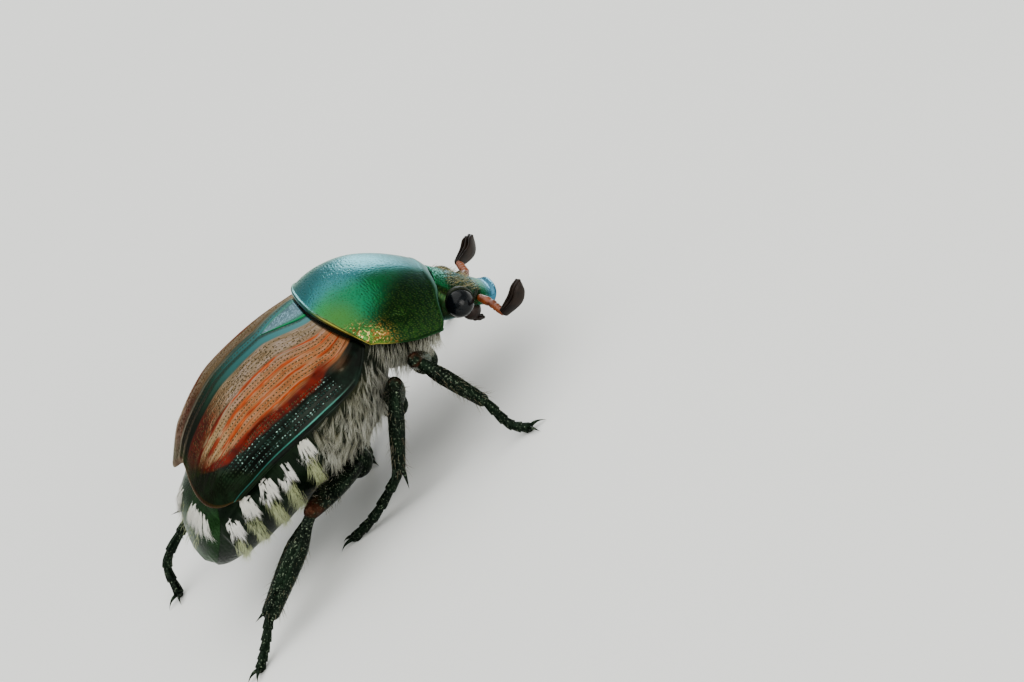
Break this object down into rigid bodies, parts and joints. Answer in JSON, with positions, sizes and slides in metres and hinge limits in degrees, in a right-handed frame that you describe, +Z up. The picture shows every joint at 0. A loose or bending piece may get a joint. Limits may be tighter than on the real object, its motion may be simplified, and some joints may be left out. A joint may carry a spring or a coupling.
{
  "type": "japanese beetle",
  "caption": "Life-size still model of a Japanese beetle standing on its spined legs, with ribbed wing cases, white hair tufts along its sides and fan-clubbed feelers.",
  "frame": {"origin": "middle of the model's box, on the floor its feet stand on", "axes": "+Z up, -Y towards the head, +Y towards the tail, +X towards the beetle's own left side"},
  "size_m": [0.0109, 0.0136, 0.0056],
  "materials": {
    "shell_green": "shining metallic green shell",
    "case_copper": "shining metallic copper shell",
    "dark_green": "glossy green-black shell with pale hair",
    "eye_black": "polished black",
    "amber": "satin dark amber"
  },
  "bodies": {
    "root": {"head": "shell_green", "pronotum": "shell_green", "scutellum": "shell_green", "elytron_left": "case_copper", "elytron_right": "case_copper", "eye_left": "eye_black", "eye_right": "eye_black", "antenna_left": "amber", "antenna_right": "amber", "mouthparts": "amber", "abdomen": "dark_green", "femur_front_left": "dark_green", "femur_front_right": "dark_green", "femur_hind_left": "dark_green", "femur_hind_right": "dark_green", "femur_middle_left": "dark_green", "femur_middle_right": "dark_green", "metathorax": "dark_green", "prosternum": "dark_green", "pygidium": "dark_green", "tarsus_front_left": "dark_green", "tarsus_front_right": "dark_green", "tarsus_hind_left": "dark_green", "tarsus_hind_right": "dark_green", "tarsus_middle_left": "dark_green", "tarsus_middle_right": "dark_green", "tibia_front_left": "dark_green", "tibia_front_right": "dark_green", "tibia_hind_left": "dark_green", "tibia_hind_right": "dark_green", "tibia_middle_left": "dark_green", "tibia_middle_right": "dark_green"}
  },
  "joints": []
}
